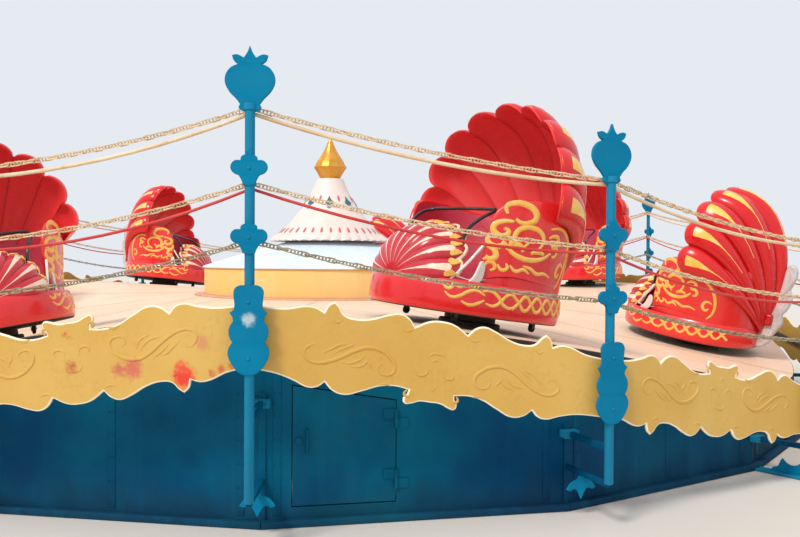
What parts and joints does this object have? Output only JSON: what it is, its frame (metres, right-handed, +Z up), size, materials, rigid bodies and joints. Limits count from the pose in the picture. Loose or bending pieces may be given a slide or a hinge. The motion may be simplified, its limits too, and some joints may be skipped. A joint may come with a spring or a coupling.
{
  "type": "waltzer ride with shell cars",
  "caption": "Round fairground ride: a waved turning platform with spinning shell-backed cars, scalloped fascia, ornate posts with chains and a centre pavilion.",
  "frame": {"origin": "on the axis of the ride at ground level", "axes": "+Z up, -Y towards the side with the access door and the first high post, +X to the right seen from there"},
  "size_m": [12.2238, 12.376, 3.26],
  "materials": {
    "car_shell": "glossy red enamel with yellow strokes, sun-faded",
    "car_body": "glossy red enamel with gold scrolls",
    "plinth_blue": "dark blue paint on steel sheet, weathered",
    "door_blue": "dark blue paint on steel sheet",
    "post_blue": "bright blue gloss paint, chipped",
    "fascia_yellow": "ochre yellow paint with chips of red and bare metal",
    "chain_cream": "pale painted steel chain",
    "rope_cream": "pale rope",
    "hose_red": "red hose over the chain",
    "deck_cream": "cream floor paint, worn",
    "frame_dark": "dark grey structural steel",
    "drum_yellow": "yellow paint",
    "roof_pale_blue": "pale blue paint",
    "canopy_white": "white paint with red and blue ornaments",
    "finial_gold": "gold paint"
  },
  "bodies": {
    "structure": {"wall_right": "plinth_blue", "wall_back_right": "plinth_blue", "wall_back_left": "plinth_blue", "wall_left": "plinth_blue", "wall_door_bay": "plinth_blue", "posts_front": "post_blue", "posts_right": "post_blue", "posts_left": "post_blue", "fascia_front": "fascia_yellow", "fascia_right": "fascia_yellow", "fascia_left": "fascia_yellow", "chain_upper": "chain_cream", "rope_upper": "rope_cream", "chain_middle": "chain_cream", "hose_middle": "hose_red", "chain_lower": "chain_cream", "base_frame": "frame_dark", "drum": "drum_yellow", "drum_roof": "roof_pale_blue", "canopy_cone": "canopy_white", "finial": "finial_gold"},
    "door": {"access_door": "door_blue"},
    "platform": {"deck_front": "deck_cream", "deck_right": "deck_cream", "deck_left": "deck_cream", "turntable_frame": "frame_dark"},
    "car_01": {"car_01_body": "car_body", "car_01_shell": "car_shell"},
    "car_02": {"car_02_body": "car_body", "car_02_shell": "car_shell"},
    "car_03": {"car_03_body": "car_body", "car_03_shell": "car_shell"},
    "car_04": {"car_04_body": "car_body", "car_04_shell": "car_shell"},
    "car_05": {"car_05_body": "car_body", "car_05_shell": "car_shell"},
    "car_06": {"car_06_body": "car_body", "car_06_shell": "car_shell"},
    "car_07": {"car_07_body": "car_body", "car_07_shell": "car_shell"}
  },
  "joints": [
    {"name": "access_door_swing", "type": "hinge", "parent": "structure", "child": "door", "pos_m": [0.82271, -5.55915, 0.5], "axis": [0, 0, 1], "range_deg": [0, 75]},
    {"name": "platform_spin", "type": "hinge", "parent": "structure", "child": "platform", "pos_m": [0, 0, 0.9], "axis": [0, 0, 1], "continuous": true},
    {"name": "car_01_spin", "type": "hinge", "parent": "platform", "child": "car_01", "pos_m": [1.4049, -4.38099, 1.16752], "axis": [0.141, 0.0279, 0.9896], "continuous": true},
    {"name": "car_02_spin", "type": "hinge", "parent": "platform", "child": "car_02", "pos_m": [4.30351, -1.64483, 0.75534], "axis": [0.1189, -0.1328, 0.984], "continuous": true},
    {"name": "car_03_spin", "type": "hinge", "parent": "platform", "child": "car_03", "pos_m": [3.96018, 2.33832, 1.27845], "axis": [-0.0218, -0.0068, 0.9997], "continuous": true},
    {"name": "car_04_spin", "type": "hinge", "parent": "platform", "child": "car_04", "pos_m": [0.63912, 4.5627, 0.74835], "axis": [-0.0492, 0.1694, 0.9843], "continuous": true},
    {"name": "car_05_spin", "type": "hinge", "parent": "platform", "child": "car_05", "pos_m": [-3.15734, 3.34607, 1.18019], "axis": [0.0909, 0.1025, 0.9906], "continuous": true},
    {"name": "car_06_spin", "type": "hinge", "parent": "platform", "child": "car_06", "pos_m": [-4.58729, -0.3964, 0.9315], "axis": [-0.0824, -0.1789, 0.9804], "continuous": true},
    {"name": "car_07_spin", "type": "hinge", "parent": "platform", "child": "car_07", "pos_m": [-2.56298, -3.82481, 0.94724], "axis": [-0.1954, 0.02, 0.9805], "continuous": true}
  ]
}
